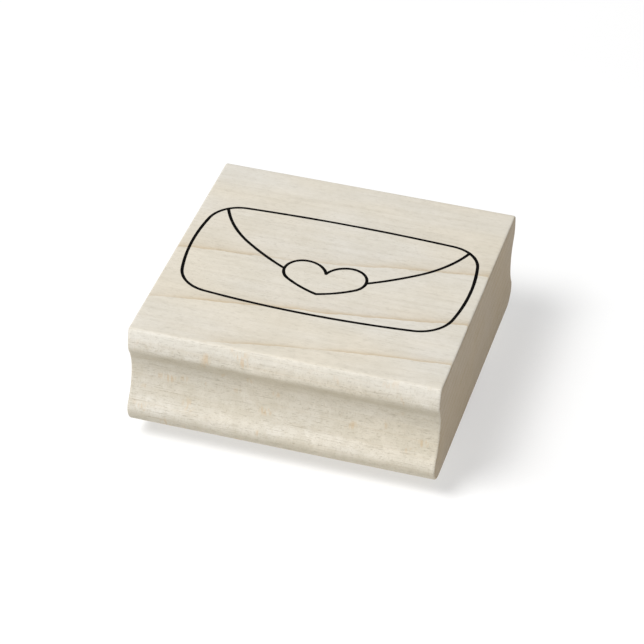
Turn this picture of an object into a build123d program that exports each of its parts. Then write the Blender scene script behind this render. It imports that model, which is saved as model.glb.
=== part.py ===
from build123d import *
import os

# Rubber stamp on a moulded maple mount, in millimetres.
# X runs along the grain of the block, Y from the front finger cove to the back one, Z is up.
# The origin is under the centre of the stamp, on the plane of the printing lines.

# --- Driving dimensions ---------------------------------------------------------------

block_length = 63.5          # sawn length of the moulding, along X (2.5 in)
block_depth = 66.0           # over both lips, along Y
block_height = 22.9          # thickness of the planed moulding

lip_height = 3.7             # height of the lip's outermost line, and the round under it
cove_depth = 2.95            # how far the finger cove is cut in behind the lip line
cove_height = 12.2           # height of the deepest line of the cove
lip_share = 0.22             # share of the lip-to-cove rise that still bends outwards
cove_share = 0.75            # share of the cove-to-bead rise that still bends inwards
bead_inset = 1.1             # bead's outermost line, behind the lip line
bead_height = 18.8           # height of that line
top_inset = 1.7              # front edge of the flat top, behind the lip line
edge_ease = 0.45             # sanded rounding of the sawn ends
top_ease = 0.9               # sanded rounding along the top's front and back edges

line_width = 0.65            # stroke of the drawing, in ink and in rubber
ink_depth = 0.05             # how deep the index print's ink has soaked into the wood
film_thickness = 0.05        # each adhesive film
foam_thickness = 1.6         # cushion sheet (1/16 in)
die_base_thickness = 0.8     # rubber left between the lines
relief_height = 1.0          # how far the printing lines stand out of the base
die_margin = 0.25            # rubber kept outside the drawing's outermost stroke
foam_inset = 0.15            # cushion trimmed just inside the die

# --- The drawing: an envelope closed by a heart, on its stroke's centre line ----------

envelope_half_width = 29.3   # at the bulge of the sides
envelope_top = 16.55         # at the middle of the top side
envelope_bottom = -15.95     # at the middle of the bottom side
upper_corner = (27.4, 15.5)  # where the top and right sides would cross
lower_corner = (26.7, -14.1)  # where the bottom and right sides would cross
side_bulge_height = 3.5
upper_corner_radius = 6.9
lower_corner_radius = 7.6

flap_start = (25.9, 14.55)    # on the envelope's outline
flap_bend = (23.4, 9.8)
flap_middle = (17.8, 3.8)
flap_end = (8.8, -2.2)        # on the heart's outline

heart_notch = (0, -1.6)
heart_crown = (4.7, 1.65)
heart_hip = (6.9, -5.45)
heart_tip = (0, -8.9)

# --- Heights of the layers, from the printing plane upwards ---------------------------

die_top = relief_height + die_base_thickness
foam_bottom = die_top + film_thickness
foam_top = foam_bottom + foam_thickness
block_bottom = foam_top + film_thickness
block_top = block_bottom + block_height


def between(start, end, share):
    """The point at a given share of the way from start to end."""
    return tuple(a + share * (b - a) for a, b in zip(start, end))


def moulding_section():
    """Cross-section of the moulding as (y, z): lip, finger cove, bead and flat top."""
    front = -block_depth / 2
    foot = (front + lip_height, 0)
    lip = (front, lip_height)
    cove = (front + cove_depth, cove_height)
    bead = (front + bead_inset, bead_height)
    brow = (front + top_inset, block_height)
    # Two arcs that are upright at their far ends meet smoothly on the straight line between them.
    lip_turn = between(lip, cove, lip_share)
    cove_turn = between(cove, bead, cove_share)
    with BuildSketch() as section:
        with BuildLine():
            under_lip = TangentArc(foot, lip, tangent=(-1, 0))
            lip_flare = TangentArc(lip, lip_turn, tangent=(0, 1))
            cove_low = TangentArc(cove, lip_turn, tangent=(0, -1))
            cove_high = TangentArc(cove, cove_turn, tangent=(0, 1))
            bead_low = TangentArc(bead, cove_turn, tangent=(0, -1))
            bead_high = TangentArc(bead, brow, tangent=(0, 1))
            Line(brow, (0, block_height))
            Line(foot, (0, 0))
            Line((0, 0), (0, block_height))
        make_face()
        mirror(about=Plane.YZ)
        brows = section.vertices().group_by(Axis.Y)[-1]
        fillet([v for v in brows if abs(v.X) > 1], top_ease)
    return section.sketch


def bare_block():
    """The sawn piece of moulding, with its end edges eased by sanding."""
    section_plane = Plane(origin=(-block_length / 2, 0, block_bottom), x_dir=(0, 1, 0), z_dir=(1, 0, 0))
    block = extrude(section_plane * moulding_section(), amount=block_length)
    ends = block.faces().filter_by(Axis.X)
    return fillet(ends.edges(), edge_ease)


def envelope_outline(grow):
    """The envelope's outer line as a face: four bowed sides with rounded corners, grown outwards."""
    right = upper_corner[0] + grow, upper_corner[1] + grow
    low_right = lower_corner[0] + grow, lower_corner[1] - grow
    left, low_left = (-right[0], right[1]), (-low_right[0], low_right[1])
    side = envelope_half_width + grow
    with BuildSketch() as outline:
        with BuildLine():
            ThreePointArc(left, (0, envelope_top + grow), right)
            ThreePointArc(right, (side, side_bulge_height), low_right)
            ThreePointArc(low_right, (0, envelope_bottom - grow), low_left)
            ThreePointArc(low_left, (-side, side_bulge_height), left)
        make_face()
        fillet(outline.vertices().group_by(Axis.Y)[-1], upper_corner_radius + grow)
        fillet(outline.vertices().group_by(Axis.Y)[0], lower_corner_radius + grow)
    return outline.sketch


def flap_line():
    """Right-hand edge of the flap, from the envelope's corner down to the heart."""
    steep = ThreePointArc(flap_start, flap_bend, flap_middle)
    return [steep, TangentArc(flap_middle, flap_end, tangent=steep % 1)]


def heart_line():
    """Right half of the heart, from the notch over the lobe and down to the tip."""
    inner_lobe = TangentArc(heart_crown, heart_notch, tangent=(-1, 0))
    outer_lobe = TangentArc(heart_crown, heart_hip, tangent=(1, 0))
    return [inner_lobe, outer_lobe, TangentArc(heart_hip, heart_tip, tangent=outer_lobe % 1)]


def drawing():
    """Every stroke of the drawing as one flat shape."""
    half_width = line_width / 2
    strokes = envelope_outline(half_width) - envelope_outline(-half_width)
    for line in flap_line() + heart_line():
        stroke = trace(line, line_width)
        strokes += [stroke, mirror(stroke, about=Plane.YZ)]
    round_ends = [Pos(*point) * Circle(half_width) for point in (heart_notch, heart_tip)]
    return strokes + round_ends


def slab(face, bottom, top):
    """A flat shape given a thickness between two heights."""
    return extrude(Pos(0, 0, bottom) * face, amount=top - bottom)


def rubber_die():
    """The moulded rubber: a base sheet and the printing lines that stand down from it."""
    base = slab(envelope_outline(line_width / 2 + die_margin), relief_height, die_top)
    return base + slab(drawing(), 0, relief_height)


def index_print():
    """The same drawing stamped on the block's top, as the inked skin of the wood."""
    return slab(drawing(), block_top - ink_depth, block_top)


def main():
    inked_wood = index_print()
    foam_outline = envelope_outline(line_width / 2 + die_margin - foam_inset)
    parts = {
        "wood_block": bare_block() - inked_wood,
        "index_print": inked_wood,
        "block_adhesive_film": slab(foam_outline, foam_top, block_bottom),
        "foam_cushion": slab(foam_outline, foam_bottom, foam_top),
        "die_adhesive_film": slab(foam_outline, die_top, foam_bottom),
        "rubber_die": rubber_die(),
    }
    os.makedirs("parts", exist_ok=True)
    for name, shape in parts.items():
        shape.label = name
        export_step(shape, f"parts/{name}.step")


main()
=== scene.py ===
# %% [markdown]
# # A wood-mounted rubber stamp
#
# The stamp is a short length of maple moulding. Its top carries an index print, a picture of what it
# prints, and a foam cushion and a moulded rubber die are glued underneath.
#
# The engineering model is loaded first, as a fixed frame in metres. Z = 0 is the sheet that the printing
# lines rest on, X runs along the grain, and the front finger cove faces -Y. Every piece below takes its
# place from that frame.

# %% Load the frame
import math

import bpy
import numpy as np
from mathutils import Matrix, Vector, noise


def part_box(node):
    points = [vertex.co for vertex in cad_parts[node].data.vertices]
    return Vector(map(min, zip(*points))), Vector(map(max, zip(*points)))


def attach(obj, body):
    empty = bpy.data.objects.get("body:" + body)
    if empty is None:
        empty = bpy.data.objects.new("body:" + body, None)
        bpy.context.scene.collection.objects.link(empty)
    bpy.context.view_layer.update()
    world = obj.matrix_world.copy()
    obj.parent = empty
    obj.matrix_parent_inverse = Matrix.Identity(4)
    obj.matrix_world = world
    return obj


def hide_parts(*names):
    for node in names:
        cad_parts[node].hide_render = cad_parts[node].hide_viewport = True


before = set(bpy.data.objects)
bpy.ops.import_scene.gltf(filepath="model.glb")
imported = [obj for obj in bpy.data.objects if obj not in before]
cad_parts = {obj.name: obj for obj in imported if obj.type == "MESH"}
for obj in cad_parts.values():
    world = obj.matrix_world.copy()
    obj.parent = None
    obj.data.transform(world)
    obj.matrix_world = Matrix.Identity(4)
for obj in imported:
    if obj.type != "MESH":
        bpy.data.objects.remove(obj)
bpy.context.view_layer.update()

MM = 0.001
block_low, block_high = (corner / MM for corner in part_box("wood_block"))
foam_low, foam_high = (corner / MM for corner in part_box("foam_cushion"))
die_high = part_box("rubber_die")[1] / MM
block_size = block_high - block_low
print("block, mm:", [round(side, 2) for side in block_size])

# %% [markdown]
# ## The camera
#
# A long lens, a little over two feet away, looks down on the front right corner. It can be placed from
# angles or from a position and a target. Angles are used here, because they can be read off: how high the
# camera stands, how far it has walked round from the front, and how far it leans sideways.

# %% Camera
camera_height_angle = math.radians(36.44)
camera_walk_angle = math.radians(15.27)
camera_lean = math.radians(1.79)
camera_position = Vector((117.6, -434.3, 345.4)) * MM
camera_lens = 152.35

look = Vector((
    -math.sin(camera_walk_angle) * math.cos(camera_height_angle),
    math.cos(camera_walk_angle) * math.cos(camera_height_angle),
    -math.sin(camera_height_angle),
))
level = look.to_track_quat("-Z", "Y").to_matrix().to_4x4()
camera_data = bpy.data.cameras.new("camera")
camera_data.lens = camera_lens
camera_data.sensor_width = 36
camera_data.clip_start = 0.01
camera = bpy.data.objects.new("camera", camera_data)
camera.matrix_world = Matrix.Translation(camera_position) @ level @ Matrix.Rotation(camera_lean, 4, "Z")
bpy.context.scene.collection.objects.link(camera)
bpy.context.scene.camera = camera
print("camera is", round(camera_position.length, 3), "m from the origin")

# %% [markdown]
# ## Points on arcs
#
# The moulding and the drawing are both made of arcs that run smoothly into each other. A Blender curve
# could hold them, but plain lists of points can be offset, widened and swept in a few lines. Two helpers
# are enough: an arc that leaves a point in a known direction, and an arc through three points.

# %% Arc helpers
def unit(vector):
    """The same direction with a length of one."""
    vector = np.array(vector, float)
    return vector / np.linalg.norm(vector)


def arc_leaving(start, end, heading, steps=24):
    """Points of the arc that leaves start along heading and arrives at end."""
    start, end, ahead = np.array(start, float), np.array(end, float), unit(heading)
    side = np.array([-ahead[1], ahead[0]])
    chord = end - start
    turn = 2 * math.atan2(chord @ side, chord @ ahead)
    radius = chord @ chord / (2 * chord @ side)
    angles = np.linspace(0, turn, steps + 1)[:, None]
    return start + radius * (np.sin(angles) * ahead + (1 - np.cos(angles)) * side)


def circle_through(first, middle, last):
    """Centre and radius of the circle through three points."""
    first, middle, last = (np.array(point, float) for point in (first, middle, last))
    rows = np.array([middle - first, last - first])
    centre = np.linalg.solve(2 * rows, (rows * np.array([middle + first, last + first])).sum(1))
    return centre, np.linalg.norm(first - centre)


def heading_at_end(points):
    """Direction in which a chain of points finishes."""
    return unit(points[-1] - points[-2])


def chain(*stretches):
    """Joins stretches of points and drops the points that they share."""
    return np.vstack([stretches[0]] + [stretch[1:] for stretch in stretches[1:]])


print("quarter circle ends at", arc_leaving((1, 0), (0, 1), (0, 1))[-1])

# %% [markdown]
# ## The moulding
#
# A maple board is run through a moulder, which cuts a lip, a finger cove and a bead along both edges, and
# is then sawn into blocks. The sawn ends and the top's edges are eased with sandpaper.
#
# A Bevel modifier on an extruded outline would round the ends, but it leaves long thin triangles across
# them. Here the block is a lattice instead: rows climb the section, columns cross it and stations run along
# the grain. All the faces are quads, which get smaller towards the block's edges, where the surface bends
# most. The stations nearest the ends pull in along a quarter circle, which is the eased edge.

# %% The moulding's section
lip_height = 3.7
cove_depth = 2.95
cove_height = 12.2
bead_inset = 1.1
bead_height = 18.8
top_inset = 1.7
lip_share = 0.22
cove_share = 0.75
end_ease = 0.45
top_ease = 0.9


def between(start, end, share):
    """The point at a given share of the way from start to end."""
    return np.array(start) + share * (np.array(end) - np.array(start))


def moulding_front():
    """Front half of the section, from the underside to the top, as (distance behind the lip, height)."""
    foot, lip = (lip_height, 0), (0, lip_height)
    cove, bead = (cove_depth, cove_height), (bead_inset, bead_height)
    lip_turn = between(lip, cove, lip_share)
    cove_turn = between(cove, bead, cove_share)
    brow = np.array((top_inset, block_size.z))
    bead_arc = arc_leaving(bead, brow, (0, 1), steps=12)
    rise = heading_at_end(bead_arc)
    tangent = top_ease * math.tan(math.acos(rise[0]) / 2)
    ease_start = brow - tangent * rise
    return chain(
        arc_leaving(foot, lip, (-1, 0), steps=16),
        arc_leaving(lip, lip_turn, (0, 1), steps=8),
        arc_leaving(cove, lip_turn, (0, -1), steps=14)[::-1],
        arc_leaving(cove, cove_turn, (0, 1), steps=10),
        arc_leaving(bead, cove_turn, (0, -1), steps=8)[::-1],
        arc_leaving(bead, ease_start, (0, 1), steps=8),
        arc_leaving(ease_start, brow + (tangent, 0), rise, steps=6),
    )


def inward(points):
    """Unit normals that point into the section, along a chain of points from the underside to the top."""
    along = np.gradient(points, axis=0)
    along[0], along[-1] = (-1, 0), (1, 0)
    along /= np.linalg.norm(along, axis=1)[:, None]
    return np.stack([along[:, 1], -along[:, 0]], axis=1)


section = moulding_front()
section_inward = inward(section)
print(len(section), "points from the foot of the lip to the top")

# %% Where the lattice's corners lie
columns = 64
stations_between = 64
ease_steps = 6


def crowded(shares):
    """Shares of a length from -1 to 1, crowded towards its two ends."""
    return 0.35 * shares + 0.65 * np.sin(shares * math.pi / 2)


def stations():
    """Places along the grain as (x, how far the section is pulled in there)."""
    half = block_size.x / 2
    angles = np.linspace(math.pi / 2, 0, ease_steps + 1)
    left = [(-half + end_ease * (1 - math.sin(a)), end_ease * (1 - math.cos(a))) for a in angles]
    shares = crowded(np.linspace(-1, 1, stations_between + 1))[1:-1]
    middle = [(x, 0) for x in (half - end_ease) * shares]
    return left + middle + [(-x, pull) for x, pull in reversed(left)]


along_grain = stations()
across_grain = crowded(np.linspace(-1, 1, columns + 1))


def block_point(row, column, station):
    """Place of one lattice corner, in millimetres."""
    x, pull = along_grain[station]
    inset, height = section[row] + pull * section_inward[row]
    half = block_size.y / 2 - inset
    return Vector((x, half * across_grain[column], block_low.z + height))


print(len(along_grain), "stations along the grain,", len(across_grain), "columns across it")

# %% The lattice's faces
def lattice_quads(rows, crossings, lengths):
    """The corners of every quad on the outside of a box-shaped lattice, as (row, column, station)."""
    def sheet(first, second, corner):
        for a in range(first):
            for b in range(second):
                yield [corner(a, b), corner(a + 1, b), corner(a + 1, b + 1), corner(a, b + 1)]

    yield from sheet(rows, lengths, lambda a, b: (a, 0, b))
    yield from sheet(lengths, rows, lambda a, b: (b, crossings, a))
    yield from sheet(lengths, crossings, lambda a, b: (0, b, a))
    yield from sheet(crossings, lengths, lambda a, b: (rows, a, b))
    yield from sheet(crossings, rows, lambda a, b: (b, a, 0))
    yield from sheet(rows, crossings, lambda a, b: (a, b, lengths))


corners, block_faces = {}, []
for quad in lattice_quads(len(section) - 1, columns, len(along_grain) - 1):
    block_faces.append([corners.setdefault(corner, len(corners)) for corner in reversed(quad)])
print(len(corners), "corners,", len(block_faces), "quads")

# %% The block's mesh
surface_unevenness = 0.012
noise_seed = 7
noise.seed_set(noise_seed)  # without this the waviness would differ each time the script runs
board_wave = 9
sanding_wave = 1.7
sanding_share = 0.4


def uneven(point):
    """The small waviness that planing and hand sanding leave, as a shift in millimetres."""
    coarse = noise.noise_vector(point / board_wave)
    fine = noise.noise_vector(point / sanding_wave)
    return surface_unevenness * (coarse + sanding_share * fine)


def mesh_object(name, points, faces, smooth=True):
    """A new object from points in millimetres and faces that index them."""
    mesh = bpy.data.meshes.new(name)
    mesh.from_pydata([tuple(np.array(point) * MM) for point in points], [], faces)
    mesh.update()
    if smooth:
        mesh.shade_smooth()
    else:
        mesh.shade_flat()
    piece = bpy.data.objects.new(name, mesh)
    bpy.context.scene.collection.objects.link(piece)
    return piece


block_points = [block_point(*corner) for corner in corners]
maple_block = mesh_object("maple_block", [point + uneven(point) for point in block_points], block_faces)
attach(maple_block, "root")
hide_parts("wood_block")
print("block:", len(maple_block.data.vertices), "points")

# %% [markdown]
# ## The drawing
#
# The same drawing is stamped on the wood and moulded in the rubber: an envelope whose flap is held by a
# heart. Its outline has four bowed sides. Each corner is an arc that touches two of them, so its centre
# lies where the two sides' circles would cross if both were smaller by the corner's radius.

# %% The envelope's outline
line_width = 0.65
envelope_top, envelope_bottom = 16.55, -15.95
envelope_side, side_height = 29.3, 3.5
upper_x, upper_y = 27.4, 15.5
lower_x, lower_y = 26.7, -14.1
upper_radius, lower_radius = 6.9, 7.6

corner_steps = 24
side_steps = 60


def corner_centre(side, next_side, radius, near):
    """Centre of the arc of this radius that touches two bowed sides from inside, close to a point."""
    (a, a_radius), (b, b_radius) = side, next_side
    a_reach, b_reach = a_radius - radius, b_radius - radius
    apart = np.linalg.norm(b - a)
    ahead = (b - a) / apart
    along = (apart ** 2 + a_reach ** 2 - b_reach ** 2) / (2 * apart)
    across = math.sqrt(a_reach ** 2 - along ** 2) * np.array([-ahead[1], ahead[0]])
    choices = (a + ahead * along + across, a + ahead * along - across)
    return min(choices, key=lambda point: np.linalg.norm(point - near))


def arc_about(centre, radius, start, end, steps):
    """Points clockwise round a centre, from the direction of one point to the direction of another."""
    first, last = (math.atan2(*(point - centre)[::-1]) for point in (start, end))
    angles = np.linspace(first, last - math.tau * (last > first), steps + 1)
    return centre + radius * np.stack([np.cos(angles), np.sin(angles)], axis=1)


def envelope_line():
    """The envelope's outline, clockwise from its lower left corner."""
    crossings = [(-upper_x, upper_y), (upper_x, upper_y), (lower_x, lower_y), (-lower_x, lower_y)]
    crossings = [np.array(point) for point in crossings]
    bulges = [
        (0, envelope_top),
        (envelope_side, side_height),
        (0, envelope_bottom),
        (-envelope_side, side_height),
    ]
    radii = [upper_radius, upper_radius, lower_radius, lower_radius]
    sides = [circle_through(crossings[i], bulges[i], crossings[(i + 1) % 4]) for i in range(4)]
    centres = [corner_centre(sides[i - 1], sides[i], radii[i], crossings[i]) for i in range(4)]
    stretches = []
    for i in range(4):
        before, after = sides[i - 1][0], sides[i][0]
        turn_from = centres[i] + (centres[i] - before)
        turn_to = centres[i] + (centres[i] - after)
        stretches.append(arc_about(centres[i], radii[i], turn_from, turn_to, corner_steps))
        stretches.append(arc_about(after, sides[i][1], centres[i], centres[(i + 1) % 4], side_steps))
    return chain(*stretches)[:-1]


print("outline has", len(envelope_line()), "points")

# %% The flap and the heart
flap_start = (25.9, 14.55)
flap_bend = (23.4, 9.8)
flap_middle = (17.8, 3.8)
flap_end = (8.8, -2.2)
flap_steps = 20

heart_notch = (0, -1.6)
heart_crown = (4.7, 1.65)
heart_hip = (6.9, -5.45)
heart_tip = (0, -8.9)


def flap_line():
    """Right edge of the flap, from the envelope's corner to the heart."""
    centre, radius = circle_through(flap_start, flap_bend, flap_middle)
    steep = arc_about(centre, radius, np.array(flap_start), np.array(flap_middle), flap_steps)
    return chain(steep, arc_leaving(flap_middle, flap_end, heading_at_end(steep), flap_steps))


def heart_line():
    """Right half of the heart, from the notch round the lobe to the tip."""
    inner = arc_leaving(heart_crown, heart_notch, (-1, 0), steps=24)[::-1]
    outer = arc_leaving(heart_crown, heart_hip, (1, 0), steps=48)
    lower = arc_leaving(heart_hip, heart_tip, heading_at_end(outer), steps=24)
    return chain(inner, outer, lower)


def mirrored(line):
    """The same line on the other side of X = 0."""
    return line * (-1, 1)


strokes = {
    "envelope": (envelope_line(), True),
    "right_heart": (heart_line(), False),
    "left_heart": (mirrored(heart_line()), False),
    "right_flap": (flap_line(), False),
    "left_flap": (mirrored(flap_line()), False),
}
for stroke_name, (line, closed) in strokes.items():
    print(stroke_name, len(line), "points, closed" if closed else "points, open")

# %% [markdown]
# ## Strokes as solids
#
# A stroke is a section swept along its line: a thin rectangle for ink, and a ridge with sloping sides for
# moulded rubber. The heart turns too sharply for a sweep at its notch and its tip, so its two halves are
# swept apart and a small turned spot rounds each of those bends. Where solids meet they overlap, so they
# are fused with an exact Boolean union, which leaves one closed surface with no faces hidden inside it.
#
# A union goes wrong where faces lie in one plane or only touch. So each solid stands a hair higher than the
# one before, far less than could be seen, and the spots are slightly wider than the strokes.

# %% Sweep a stroke
mitre_limit = 1.35


def sideways(line, closed):
    """For each point of a line, the direction across it, longer in corners so that the width stays even."""
    if closed:
        ahead = np.roll(line, -1, axis=0) - line
        behind = line - np.roll(line, 1, axis=0)
    else:
        steps = np.diff(line, axis=0)
        ahead, behind = np.vstack([steps, steps[-1]]), np.vstack([steps[0], steps])
    ahead /= np.linalg.norm(ahead, axis=1)[:, None]
    behind /= np.linalg.norm(behind, axis=1)[:, None]
    mean = ahead + behind
    mean /= np.linalg.norm(mean, axis=1)[:, None]
    across = np.stack([-mean[:, 1], mean[:, 0]], axis=1)
    stretch = 1 / np.maximum((mean * ahead).sum(1), 1 / mitre_limit)
    return across * stretch[:, None]


def sweep(name, line, closed, ridge, widths=None):
    """A solid along a line. The ridge is a loop of (share of half width, height above the sheet)."""
    across = sideways(line, closed)
    halves = np.full(len(line), line_width / 2) if widths is None else widths / 2
    points = [
        (*(line[i] + across[i] * side * halves[i]), height)
        for i in range(len(line)) for side, height in ridge
    ]
    loop, count = len(ridge), len(line)
    faces = []
    for i in range(count if closed else count - 1):
        here, there = i * loop, (i + 1) % count * loop
        faces += [[here + j, here + (j + 1) % loop, there + (j + 1) % loop, there + j] for j in range(loop)]
    if not closed:
        faces += [list(range(loop))[::-1], list(range((count - 1) * loop, count * loop))]
    return mesh_object(name, points, faces, smooth=False)


print("a corner's stroke gets at most", mitre_limit, "times as wide across its bend")

# %% Turn a spot
spot_growth = 1.06


def round_spot(name, centre, ridge, sides=32):
    """The ridge's own profile turned about an upright axis, which rounds the bend between two strokes."""
    profile = sorted(((height, share) for share, height in ridge if share > 0), reverse=True)
    angles = [math.tau * i / sides for i in range(sides)]
    radius = spot_growth * line_width / 2
    points = [
        (centre[0] + radius * share * math.cos(a), centre[1] + radius * share * math.sin(a), height)
        for height, share in profile for a in angles
    ]
    last = (len(profile) - 1) * sides
    faces = [
        [ring + i, ring + sides + i, ring + sides + (i + 1) % sides, ring + (i + 1) % sides]
        for ring in range(0, last, sides) for i in range(sides)
    ]
    faces += [list(range(sides)), list(range(last, last + sides))[::-1]]
    return mesh_object(name, points, faces, smooth=False)


print("a spot is", spot_growth * line_width, "mm wide where its share is 1")

# %% Fuse the strokes
hair = 0.0015


def raised(ridge, count):
    """The same ridge, lifted by a few thousandths of a millimetre."""
    return [(side, height + count * hair) for side, height in ridge]


def stroke_solids(ridge, width_along=None):
    """Every stroke as a solid, and a spot on each of the heart's two sharp bends."""
    solids = []
    for count, (stroke_name, (line, closed)) in enumerate(strokes.items()):
        widths = width_along(line) if width_along else None
        solids.append(sweep(stroke_name, line, closed, raised(ridge, count), widths))
    solids.append(round_spot("notch", heart_notch, raised(ridge, len(strokes))))
    solids.append(round_spot("tip", heart_tip, raised(ridge, len(strokes))))
    return solids


def fuse(name, solids):
    """One closed mesh from several solids that overlap."""
    first, *others = solids
    for other in others:
        union = first.modifiers.new("union", "BOOLEAN")
        union.operation = "UNION"
        union.solver = "EXACT"
        union.object = other
    bpy.context.view_layer.update()
    evaluated = first.evaluated_get(bpy.context.evaluated_depsgraph_get())
    mesh = bpy.data.meshes.new_from_object(evaluated)
    mesh.name = name
    for solid in solids:
        bpy.data.objects.remove(solid)
    fused = bpy.data.objects.new(name, mesh)
    bpy.context.scene.collection.objects.link(fused)
    return fused


print("heights differ by up to", round(len(strokes) * hair, 4), "mm")

# %% [markdown]
# ## The index print
#
# The maker stamps the drawing on the wood with black ink. It soaks in, so it has no thickness to speak of,
# but the line is a little wider where the wood drew more of it. The strokes are swept with a width that
# wanders by a few hundredths of a millimetre, and stand so little above the wood that they look printed.

# %% Index print
ink_height = 0.03
ink_sink = 0.1
ink_wander = 0.05
slow_wave = 3.1
fast_wave_along, fast_wave_across = 0.7, 0.5
slow_layer, fast_layer = 1.7, 5.3


def inked_widths(line):
    """Stroke width at each point: the line's own, with the slow and fast wander of soaked ink."""
    slow = np.array([noise.noise(Vector((x / slow_wave, y / slow_wave, slow_layer))) for x, y in line])
    fast = np.array([
        noise.noise(Vector((x / fast_wave_along, y / fast_wave_across, fast_layer)))
        for x, y in line
    ])
    return line_width + ink_wander * (slow + fast)


ink_bottom, ink_top = block_high.z - ink_sink, block_high.z + ink_height
ink_section = [(-1, ink_top), (-1, ink_bottom), (1, ink_bottom), (1, ink_top)]
index_ink = fuse("index_ink", stroke_solids(ink_section, inked_widths))
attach(index_ink, "root")
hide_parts("index_print")
print("index print:", len(index_ink.data.polygons), "faces")

# %% [markdown]
# ## The rubber die
#
# The die is pressed in a hot mould. Its base is a flat sheet, and the lines stand out of it with sloping
# shoulders, because rubber with upright sides would tear in the mould. The sheet is trimmed close to the
# drawing with shears, which leaves a slightly slanted, wavy edge.

# %% Rubber die
die_margin = 0.25
die_base_bottom = 1.0
shear_wander = 0.04
shear_wave, shear_wave_up = 4, 6
shoulder = [(-1.55, 1.12), (-1.5, 0.97), (-1.26, 0.84), (-1.12, 0.3), (-1.0, 0.04), (-0.93, 0.0)]
ridge_section = shoulder + [(-side, height) for side, height in reversed(shoulder)]


def trimmed_slab(name, margin, rings, waviness):
    """A closed slab in the drawing's outer shape. The rings are (inset from the edge, height), bottom up."""
    line, closed = strokes["envelope"]
    across = sideways(line, closed)
    points = []
    for inset, height in rings:
        for (x, y), outwards in zip(line, across):
            wave = waviness * noise.noise(Vector((x / shear_wave, y / shear_wave, height / shear_wave_up)))
            reach = line_width / 2 + margin - inset + wave
            points.append((*(np.array((x, y)) + outwards * reach), height))
    count, layers = len(line), len(rings)
    faces = [
        [(layer + 1) * count + i, (layer + 1) * count + (i + 1) % count,
         layer * count + (i + 1) % count, layer * count + i]
        for layer in range(layers - 1) for i in range(count)
    ]
    faces += [list(range(count)), list(range((layers - 1) * count, layers * count))[::-1]]
    return mesh_object(name, points, faces, smooth=False)


sheared_rings = [
    (0.02, die_base_bottom),
    (0, die_base_bottom + 0.3),
    (0.02, die_high.z - 0.05),
    (0.06, die_high.z),
]
die_solids = [trimmed_slab("die_sheet", die_margin, sheared_rings, shear_wander)]
die_solids += stroke_solids(ridge_section)
red_die = fuse("red_die", die_solids)
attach(red_die, "root")
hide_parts("rubber_die")
print("die:", len(red_die.data.polygons), "faces")

# %% [markdown]
# ## The cushion and its films
#
# Closed-cell foam sits between the wood and the rubber and evens out the pressure. It is cut with a blade,
# so its edge shows rows of sliced bubbles. A bump map would leave that edge straight in outline, so the
# bubbles are pressed into a fine mesh instead. A film of adhesive holds each side of the foam.

# %% Foam cushion and adhesive films
foam_inset = 0.15
foam_layers = 14
foam_points_per_mm = 9
cell_size = 0.28
cell_depth = 0.05
cell_rim = 0.5
edge_bulge = 0.04
film_wander = 0.02


def resampled(line, spacing):
    """A closed line with points at an even spacing."""
    loop = np.vstack([line, line[:1]])
    travelled = np.concatenate([[0], np.cumsum(np.linalg.norm(np.diff(loop, axis=0), axis=1))])
    places = np.linspace(0, travelled[-1], round(travelled[-1] / spacing), endpoint=False)
    return np.stack([np.interp(places, travelled, loop[:, axis]) for axis in (0, 1)], axis=1)


def foam_edge():
    """The cushion as a closed mesh whose upright edge is pitted by cut bubbles."""
    line = resampled(strokes["envelope"][0], 1 / foam_points_per_mm)
    across = sideways(line, True)
    reach = line_width / 2 + die_margin - foam_inset
    heights = np.linspace(foam_low.z, foam_high.z, foam_layers + 1)
    points = []
    for layer, height in enumerate(heights):
        inner = 0 < layer < foam_layers
        bulge = edge_bulge * math.sin(math.pi * layer / foam_layers)
        for (x, y), outwards in zip(line, across):
            nearest = noise.voronoi(Vector((x, y, height)) / cell_size)[0][0] if inner else cell_rim
            pit = cell_depth * max(0, cell_rim - nearest) / cell_rim
            points.append((*(np.array((x, y)) + outwards * (reach + bulge - pit)), height))
    count = len(line)
    faces = [
        [layer * count + i, (layer + 1) * count + i,
         (layer + 1) * count + (i + 1) % count, layer * count + (i + 1) % count]
        for layer in range(foam_layers) for i in range(count)
    ]
    faces += [list(range(count)), list(range(foam_layers * count, (foam_layers + 1) * count))[::-1]]
    return mesh_object("foam_pad", points, faces, smooth=False)


foam_pad = foam_edge()
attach(foam_pad, "root")
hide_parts("foam_cushion")
print("cushion:", len(foam_pad.data.polygons), "faces")

films = []
for film_name, node in (("upper_film", "block_adhesive_film"), ("lower_film", "die_adhesive_film")):
    low, high = (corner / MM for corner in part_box(node))
    rings = [(0.02, low.z), (0, (low.z + high.z) / 2), (0.02, high.z)]
    film = trimmed_slab(film_name, die_margin - foam_inset, rings, film_wander)
    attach(film, "root")
    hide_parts(node)
    films.append(film)
    print(film_name, "is", round(high.z - low.z, 3), "mm thick")

# %% [markdown]
# ## Writing finishes as sums
#
# A finish is a network of nodes, and most of it is arithmetic. Blender's editor draws that as a web of
# Math boxes. Here one small class wraps a socket, so that adding or multiplying two values adds the node,
# and another holds the material and makes any other node from its type, its settings and its sockets.

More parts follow.
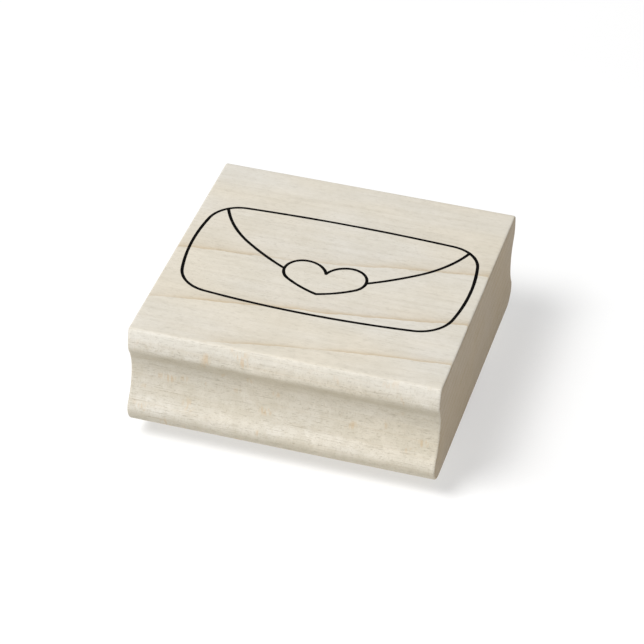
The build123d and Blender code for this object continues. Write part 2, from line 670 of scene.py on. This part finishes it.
# %% A value on a surface
class Value:
    """A number that varies over a surface, held as the socket that gives it."""

    def __init__(self, finish, socket):
        self.finish, self.socket = finish, socket

    def __getitem__(self, name):
        return Value(self.finish, self.socket.node.outputs[name])

    def sum(self, operation, *values):
        return self.finish.node("ShaderNodeMath", {"operation": operation}, dict(enumerate(values)))

    def __add__(self, other):
        return self.sum("ADD", self, other)

    __radd__ = __add__

    def __sub__(self, other):
        return self.sum("SUBTRACT", self, other)

    def __rsub__(self, other):
        return self.sum("SUBTRACT", other, self)

    def __mul__(self, other):
        return self.sum("MULTIPLY", self, other)

    __rmul__ = __mul__

    def __truediv__(self, other):
        return self.sum("DIVIDE", self, other)

    def __pow__(self, other):
        return self.sum("POWER", self, other)

    def floor(self):
        return self.sum("FLOOR", self)

    def root(self):
        return self.sum("SQRT", self)

    def size(self):
        return self.sum("ABSOLUTE", self)

    def step(self, start, end):
        """0 up to start, 1 from end on, and a smooth change between them."""
        settings = {"interpolation_type": "SMOOTHSTEP"}
        sockets = {"Value": self, "From Min": start, "From Max": end}
        return self.finish.node("ShaderNodeMapRange", settings, sockets)


print("a value can also do:", [name for name in vars(Value) if not name.startswith("_")])

# %% A material under construction
class Finish:
    """A material under construction, with a Principled shader as its surface."""

    def __init__(self, name):
        self.material = bpy.data.materials.new(name)
        self.material.use_nodes = True
        self.tree = self.material.node_tree
        self.shader = self.tree.nodes["Principled BSDF"]

    def node(self, kind, settings=None, sockets=None):
        """Adds a node and gives its first output. Settings come first, because they change the sockets."""
        made = self.tree.nodes.new(kind)
        for name, value in (settings or {}).items():
            setattr(made, name, value)
        self.fill(made, sockets or {})
        return Value(self, next(output for output in made.outputs if output.enabled))

    def fill(self, made, sockets):
        for key, value in sockets.items():
            if isinstance(value, Value):
                self.tree.links.new(value.socket, made.inputs[key])
            else:
                made.inputs[key].default_value = value

    def place(self):
        """Where a point of the surface is, in millimetres of the stamp's own frame."""
        metres = self.node("ShaderNodeTexCoord")["Object"]
        return self.node("ShaderNodeVectorMath", {"operation": "SCALE"}, {"Vector": metres, "Scale": 1 / MM})

    def stretched(self, place, size):
        """The same place counted in cells of the given size, (x, y, z) in millimetres."""
        return self.node("ShaderNodeVectorMath", {"operation": "DIVIDE"}, {0: place, 1: size})

    def noise(self, place, size, detail=2.0, rough=0.5):
        """Cloudy noise from 0 to 1, in clouds of the given size."""
        sockets = {"Vector": self.stretched(place, size), "Scale": 1, "Detail": detail, "Roughness": rough}
        return self.node("ShaderNodeTexNoise", None, sockets)

    def mix(self, share, first, second):
        """A colour that goes from first to second as share goes from 0 to 1."""
        made = self.tree.nodes.new("ShaderNodeMix")
        made.data_type = "RGBA"
        self.fill(made, {0: share, 6: first, 7: second})
        return Value(self, made.outputs[2])

    def bump(self, height, depth):
        """A Normal that follows a height from 0 to 1 over a depth in millimetres."""
        return self.node("ShaderNodeBump", None, {"Height": height, "Distance": depth * MM})

    def surface(self, **sockets):
        """Sets the shader's sockets, whose names have underscores here instead of spaces."""
        self.fill(self.shader, {name.replace("_", " "): value for name, value in sockets.items()})
        return self.material


def colour(red, green, blue):
    """A screen colour, from 0 to 255, as the linear colour that a shader needs."""
    parts = [part / 255 for part in (red, green, blue)]
    return (*(p / 12.92 if p < 0.04045 else ((p + 0.055) / 1.055) ** 2.4 for p in parts), 1.0)


print("mid grey is", round(colour(128, 128, 128)[0], 3), "in a shader")

# %% [markdown]
# ## Bare maple
#
# A board shows different patterns on its top, edge and end, but they are one piece of wood. So the finish
# isn't painted on each face: it is a solid pattern, worked out from the place of each point, as if the
# block were sawn out of the tree.
#
# - Growth rings are cylinders about the tree's heart, far below the block. They cut the top at a shallow
#   angle, which spreads them out, and the sides steeply. Each ends in a thin tan line.
# - Pores are fine tubes along the grain. On the top and sides they are short dashes, on the ends dots.
# - Rays are thin upright ribbons that run out from the tree's heart. They are flecks on the sides and
#   small ticks on the top.
# - The sawn ends drink in more light between the open tubes, so they are darker.
# - The moulding's hollows are darker as painted shade, and the top of the bead paler as a painted highlight.

# %% Which way each face was cut
def cut(wood):
    """How far a face is sawn end grain, how far it is moulded side, and how far it looks down."""
    facing = wood.node("ShaderNodeTexCoord")["Normal"]
    axes = wood.node("ShaderNodeSeparateXYZ", None, {"Vector": facing})
    end_grain = axes["X"].size().step(0.55, 0.95)
    moulded_side = axes["Y"].size().step(0.3, 0.8)
    return end_grain, moulded_side, -1 * axes["Z"]


print("cut() gives three values between 0 and 1, or -1 and 1 for the last")

# %% Painted shade in the hollows and a painted highlight on the brow
# Each band is a start and an end, in millimetres above the block's foot, where shade or a highlight is
# painted.
lip_band = (2.4, 5.4)
cove_floor, cove_roof = (5, 8), (15.5, 17.5)
bead_shelter = (6, 9)
groove_floor, groove_roof = (15, 17), (17.7, 19.6)
brow_highlight_band = (19.6, 21.4)


def painted_hollow_shade(above_foot, end_grain, moulded_side, downward):
    """How much painted shade darkens the hollows: under the bead, in the groove, in the cove and under the
    lip.
    """
    under_bead = downward.step(0.1, 0.5) * above_foot.step(*bead_shelter)
    groove = above_foot.step(*groove_floor) * (1 - above_foot.step(*groove_roof)) * moulded_side
    cove = above_foot.step(*cove_floor) * (1 - above_foot.step(*cove_roof)) * moulded_side
    under_lip = (1 - above_foot.step(*lip_band)) * (1 - end_grain)
    return under_bead * 0.2 + groove * 0.26 + under_lip * 0.42 + cove * 0.24


print("the groove under the bead is darkest", groove_floor[1], "to", groove_roof[0], "mm above the foot")

# %% Growth rings
heart_of_tree = (43.5, -330.0)
ring_width = 2.4
ring_start = 0.53
ring_slant = 0.17
ring_drift = 0.6
ring_wander = 0.26
late_wood_sharpness = 24


def growth_rings(wood, place):
    """The reach from the tree's heart, how far it wanders, and the thin line that closes each ring."""
    axes = wood.node("ShaderNodeSeparateXYZ", None, {"Vector": place})
    drift = wood.noise(place, (42, 16, 16), 1.0) - 0.5
    wander = wood.noise(place, (6, 2.5, 2.5), 4.0, 0.6) - 0.5
    sideways_reach = axes["Y"] - axes["X"] * ring_slant - heart_of_tree[0]
    upward_reach = axes["Z"] - heart_of_tree[1]
    reach = (sideways_reach ** 2 + upward_reach ** 2).root()
    rings = (reach + drift * ring_drift + wander * ring_wander) / ring_width + ring_start
    ring_number = rings.floor()
    through_ring = rings - ring_number
    ring_seed = wood.node("ShaderNodeTexWhiteNoise", {"noise_dimensions": "1D"}, {"W": ring_number})
    line = through_ring ** late_wood_sharpness * (1 - through_ring.step(0.985, 1.0))
    late_wood = line + 0.2 * through_ring ** 4
    strength = (0.5 + 0.5 * ring_seed) * wood.noise(place, (24, 6, 6), 1.0).step(0.2, 0.55)
    return reach, wander, late_wood * strength


print("rings are", ring_width, "mm wide and their heart is", -heart_of_tree[1], "mm down")

# %% Sizes of the wood's marks
# Along the grain, across it and upwards, in millimetres.
fibre_size = (5, 0.22, 0.22)
streak_size = (26, 1.2, 1.2)
pore_size = (1.2, 0.16, 0.18)
pore_patch_size = (9, 2.5, 2.5)
ray_size = (0.4, 0.16, 1.4)
saw_line_size = (7, 0.3, 0.14)
pit_size = (0.3, 0.2, 0.5)
ripple_size = (1.7, 1.8, 2.4)
mottle_size = (9, 7, 7)
warm_patch_size = (38, 15, 15)
stain_size = (3.2, 3.0, 3.4)
stain_bar_size = (0.5, 0.9, 4.0)
end_line_width = 0.5
print("a pore is about", pore_size[0], "mm long and", pore_size[1], "mm wide")

# %% Colours of the wood
pale_wood = colour(226, 222, 213)
warm_wood = colour(228, 220, 204)
mottle_tone = colour(210, 204, 189)
ripple_tone = colour(198, 190, 172)
ring_tone = colour(194, 170, 132)
fibre_tone = colour(178, 168, 148)
pore_tone = colour(132, 120, 96)
ray_tone = colour(188, 174, 146)
saw_tone = colour(146, 134, 110)
stain_tone = colour(208, 176, 130)
# painted shade, which darkens the moulding's hollows
painted_shade_tone = colour(168, 157, 130)
# a painted highlight, which lightens the top of the bead
painted_highlight_tone = colour(236, 234, 228)
end_tone = colour(142, 111, 52)
print("pale wood is", [round(part, 2) for part in pale_wood[:3]], "in a shader")

# %% Maple
def maple():
    wood = Finish("bare_maple")
    place = wood.place()
    end_grain, moulded_side, downward = cut(wood)
    reach, wander, ring_line = growth_rings(wood, place)

    # Fibres, pores, rays and the marks that the cutters and the saw left
    fibre = wood.noise(place, fibre_size, 3.0, 0.6)
    streak = wood.noise(place, streak_size)
    pores = wood.noise(place, pore_size, 1.0).step(0.6, 0.75)
    pore_patches = wood.noise(place, pore_patch_size, 1.0).step(0.3, 0.65)
    rays = wood.noise(place, ray_size, 1.0).step(0.56, 0.74)
    saw_lines = wood.noise(place, saw_line_size).step(0.6, 0.74)
    pits = wood.noise(place, pit_size, 1.0).step(0.58, 0.72) * moulded_side
    end_sockets = {"W": reach / end_line_width + wander * 0.8, "Scale": 1, "Detail": 2, "Roughness": 0.6}
    end_lines = wood.node("ShaderNodeTexNoise", {"noise_dimensions": "1D"}, end_sockets).step(0.4, 0.7)

    # Broad, cloudy changes of tone
    ripple = wood.noise(place, ripple_size, 3.0, 0.6).step(0.35, 0.65)
    mottle = wood.noise(place, mottle_size, 3.0, 0.6).step(0.3, 0.75)
    warm_patches = wood.noise(place, warm_patch_size).step(0.3, 0.7)
    stain_bars = wood.noise(place, stain_bar_size, 0.0).step(0.42, 0.6)
    stain = wood.noise(place, stain_size, 0.0).step(0.65, 0.82) * stain_bars * moulded_side

    # Each layer of colour lies on the one before
    tone = wood.mix(warm_patches, pale_wood, warm_wood)
    tone = wood.mix(mottle * (0.36 + 0.24 * moulded_side), tone, mottle_tone)
    tone = wood.mix(ripple * (0.10 + 0.22 * moulded_side), tone, ripple_tone)
    tone = wood.mix(ring_line * (0.85 - 0.55 * moulded_side), tone, ring_tone)
    tone = wood.mix(streak.step(0.4, 0.75) * 0.14 + fibre.step(0.4, 0.75) * 0.15, tone, fibre_tone)
    tone = wood.mix(pores * (0.05 + 0.1 * pore_patches + 0.28 * moulded_side), tone, pore_tone)
    tone = wood.mix(rays * (0.12 + 0.12 * moulded_side), tone, ray_tone)
    tone = wood.mix(saw_lines * moulded_side * 0.5 + pits * 0.2, tone, saw_tone)
    tone = wood.mix(stain * 0.5, tone, stain_tone)

    # Painted shade in the hollows, a painted highlight on the brow, and the thirsty ends
    height_above = wood.node("ShaderNodeSeparateXYZ", None, {"Vector": place})["Z"] - block_low.z
    tone = wood.mix(painted_hollow_shade(height_above, end_grain, moulded_side, downward), tone, painted_shade_tone)
    # painted highlight on the top of the bead, on the moulded sides
    tone = wood.mix(height_above.step(*brow_highlight_band) * moulded_side * 0.28, tone, painted_highlight_tone)
    tone = wood.mix(end_grain * (0.54 + 0.1 * end_lines + 0.2 * ring_line), tone, end_tone)

    relief = 1 - pores * 0.8 - rays * 0.3 + fibre * 0.5
    return wood.surface(
        Base_Color=tone,
        Roughness=0.52 + 0.12 * fibre + 0.1 * end_grain,
        Normal=wood.bump(relief, 0.035),
        Specular_IOR_Level=0.35,
    )


def finish_piece(piece, material):
    """Gives a piece its one material, and says how many nodes that has."""
    piece.data.materials.clear()
    piece.data.materials.append(material)
    print(piece.name, "has", len(material.node_tree.nodes), "nodes")


finish_piece(maple_block, maple())

# %% [markdown]
# ## Ink, rubber, foam and film
#
# Soaked ink is matt and nearly black, a little thinner where it lies on a pore. Vulcanised rubber is satin,
# with the fine grain of the mould, and the foam is a mass of tiny bubbles.

# %% Index ink
def ink():
    black = Finish("soaked_ink")
    place = black.place()
    thin = black.noise(place, (1.2, 0.14, 0.3), 2.0).step(0.6, 0.85)
    cloud = black.noise(place, (0.8, 0.5, 0.5), 2.0)
    body = black.mix(cloud, colour(3, 3, 3), colour(14, 13, 12))
    return black.surface(
        Base_Color=black.mix(thin * 0.2, body, colour(58, 52, 44)),
        Roughness=0.75 + 0.2 * cloud,
        Normal=black.bump(black.noise(place, (2, 0.15, 0.3), 2.0), 0.012),
        Specular_IOR_Level=0.08,
    )


finish_piece(index_ink, ink())

# %% Red rubber
def rubber():
    red = Finish("red_rubber")
    place = red.place()
    mould = red.noise(place, (0.16, 0.16, 0.16), 3.0, 0.6)
    bloom = red.noise(place, (5, 5, 2), 3.0, 0.6).step(0.45, 0.8)
    speck = red.noise(place, (0.35, 0.35, 0.35), 0.0).step(0.74, 0.8)
    body = red.mix(mould, colour(136, 52, 40), colour(154, 62, 47))
    dusty = red.mix(bloom * 0.3, body, colour(178, 104, 88))
    return red.surface(
        Base_Color=red.mix(speck * 0.4, dusty, colour(96, 40, 32)),
        Roughness=0.42 + 0.16 * mould + 0.15 * bloom,
        Normal=red.bump(mould, 0.02),
    )


finish_piece(red_die, rubber())

# %% Foam and film
def foam():
    grey = Finish("closed_cell_foam")
    place = grey.place()
    sockets = {"Vector": grey.stretched(place, (cell_size, cell_size, cell_size)), "Scale": 1}
    cells = grey.node("ShaderNodeTexVoronoi", None, sockets)
    fine = grey.noise(place, (0.08, 0.08, 0.08), 2.0)
    wall = cells.step(0.15, 0.55)
    return grey.surface(
        Base_Color=grey.mix(wall * 0.8 + fine * 0.2, colour(92, 92, 90), colour(158, 158, 154)),
        Roughness=0.75 + 0.15 * fine,
        Normal=grey.bump(wall, 0.05),
    )


def film_finish():
    clear = Finish("adhesive_film")
    place = clear.place()
    cloud = clear.noise(place, (3, 3, 1), 3.0, 0.6)
    return clear.surface(
        Base_Color=clear.mix(cloud, colour(206, 200, 176), colour(226, 222, 206)),
        Roughness=0.25 + 0.2 * cloud,
        Normal=clear.bump(cloud, 0.01),
    )


finish_piece(foam_pad, foam())
film_material = film_finish()
for film in films:
    finish_piece(film, film_material)
print("finishes:", [material.name for material in bpy.data.materials])

# %% [markdown]
# ## Floor and light
#
# The stamp stands on a plain pale sheet. One big soft lamp stands high in front, a little to the left, so
# the front is the brightest side and the right end lies in its own shade. The pale surroundings fill the
# rest. The sheet glows faintly, which keeps the shadow on it light, and lies a hair below the die, because
# two faces in one plane would flicker through each other.

# %% Floor
sheet_glow = 0.5
sheet_mottle = (60, 60, 60)
floor_half = 2000
floor_height = -0.05


def pale_sheet():
    sheet = Finish("pale_sheet")
    mottle = sheet.noise(sheet.place(), sheet_mottle)
    return sheet.surface(
        Base_Color=sheet.mix(mottle, (0.50, 0.50, 0.50, 1), (0.52, 0.52, 0.52, 1)),
        Roughness=0.9,
        Specular_IOR_Level=0.0,
        Emission_Color=(1, 1, 1, 1),
        Emission_Strength=sheet_glow,
    )


floor_sides = [(-1, -1), (1, -1), (1, 1), (-1, 1)]
floor_points = [(x * floor_half, y * floor_half, floor_height) for x, y in floor_sides]
floor = mesh_object("floor", floor_points, [[0, 1, 2, 3]])
finish_piece(floor, pale_sheet())

# %% Light
key_place = Vector((-0.70, -0.68, 1.48))
key_width = 0.8
key_power = 29.5
surroundings_strength = 0.32


def soft_lamp(name, position, width, power):
    """A square white lamp that faces the stamp."""
    lamp = bpy.data.lights.new(name, "AREA")
    lamp.size = width
    lamp.energy = power
    holder = bpy.data.objects.new(name, lamp)
    holder.location = position
    holder.rotation_euler = (-holder.location).to_track_quat("-Z", "Y").to_euler()
    bpy.context.scene.collection.objects.link(holder)


soft_lamp("key_lamp", key_place, key_width, key_power)
world = bpy.data.worlds.new("surroundings")
world.use_nodes = True
background = world.node_tree.nodes["Background"].inputs
background["Color"].default_value = (1, 1, 1, 1)
background["Strength"].default_value = surroundings_strength
bpy.context.scene.world = world
bpy.context.scene.view_settings.view_transform = "Standard"
print("lamps:", [light.name for light in bpy.data.lights])

# %% Finish
print("pieces:", [piece.name for piece in (maple_block, index_ink, red_die, foam_pad, *films)])
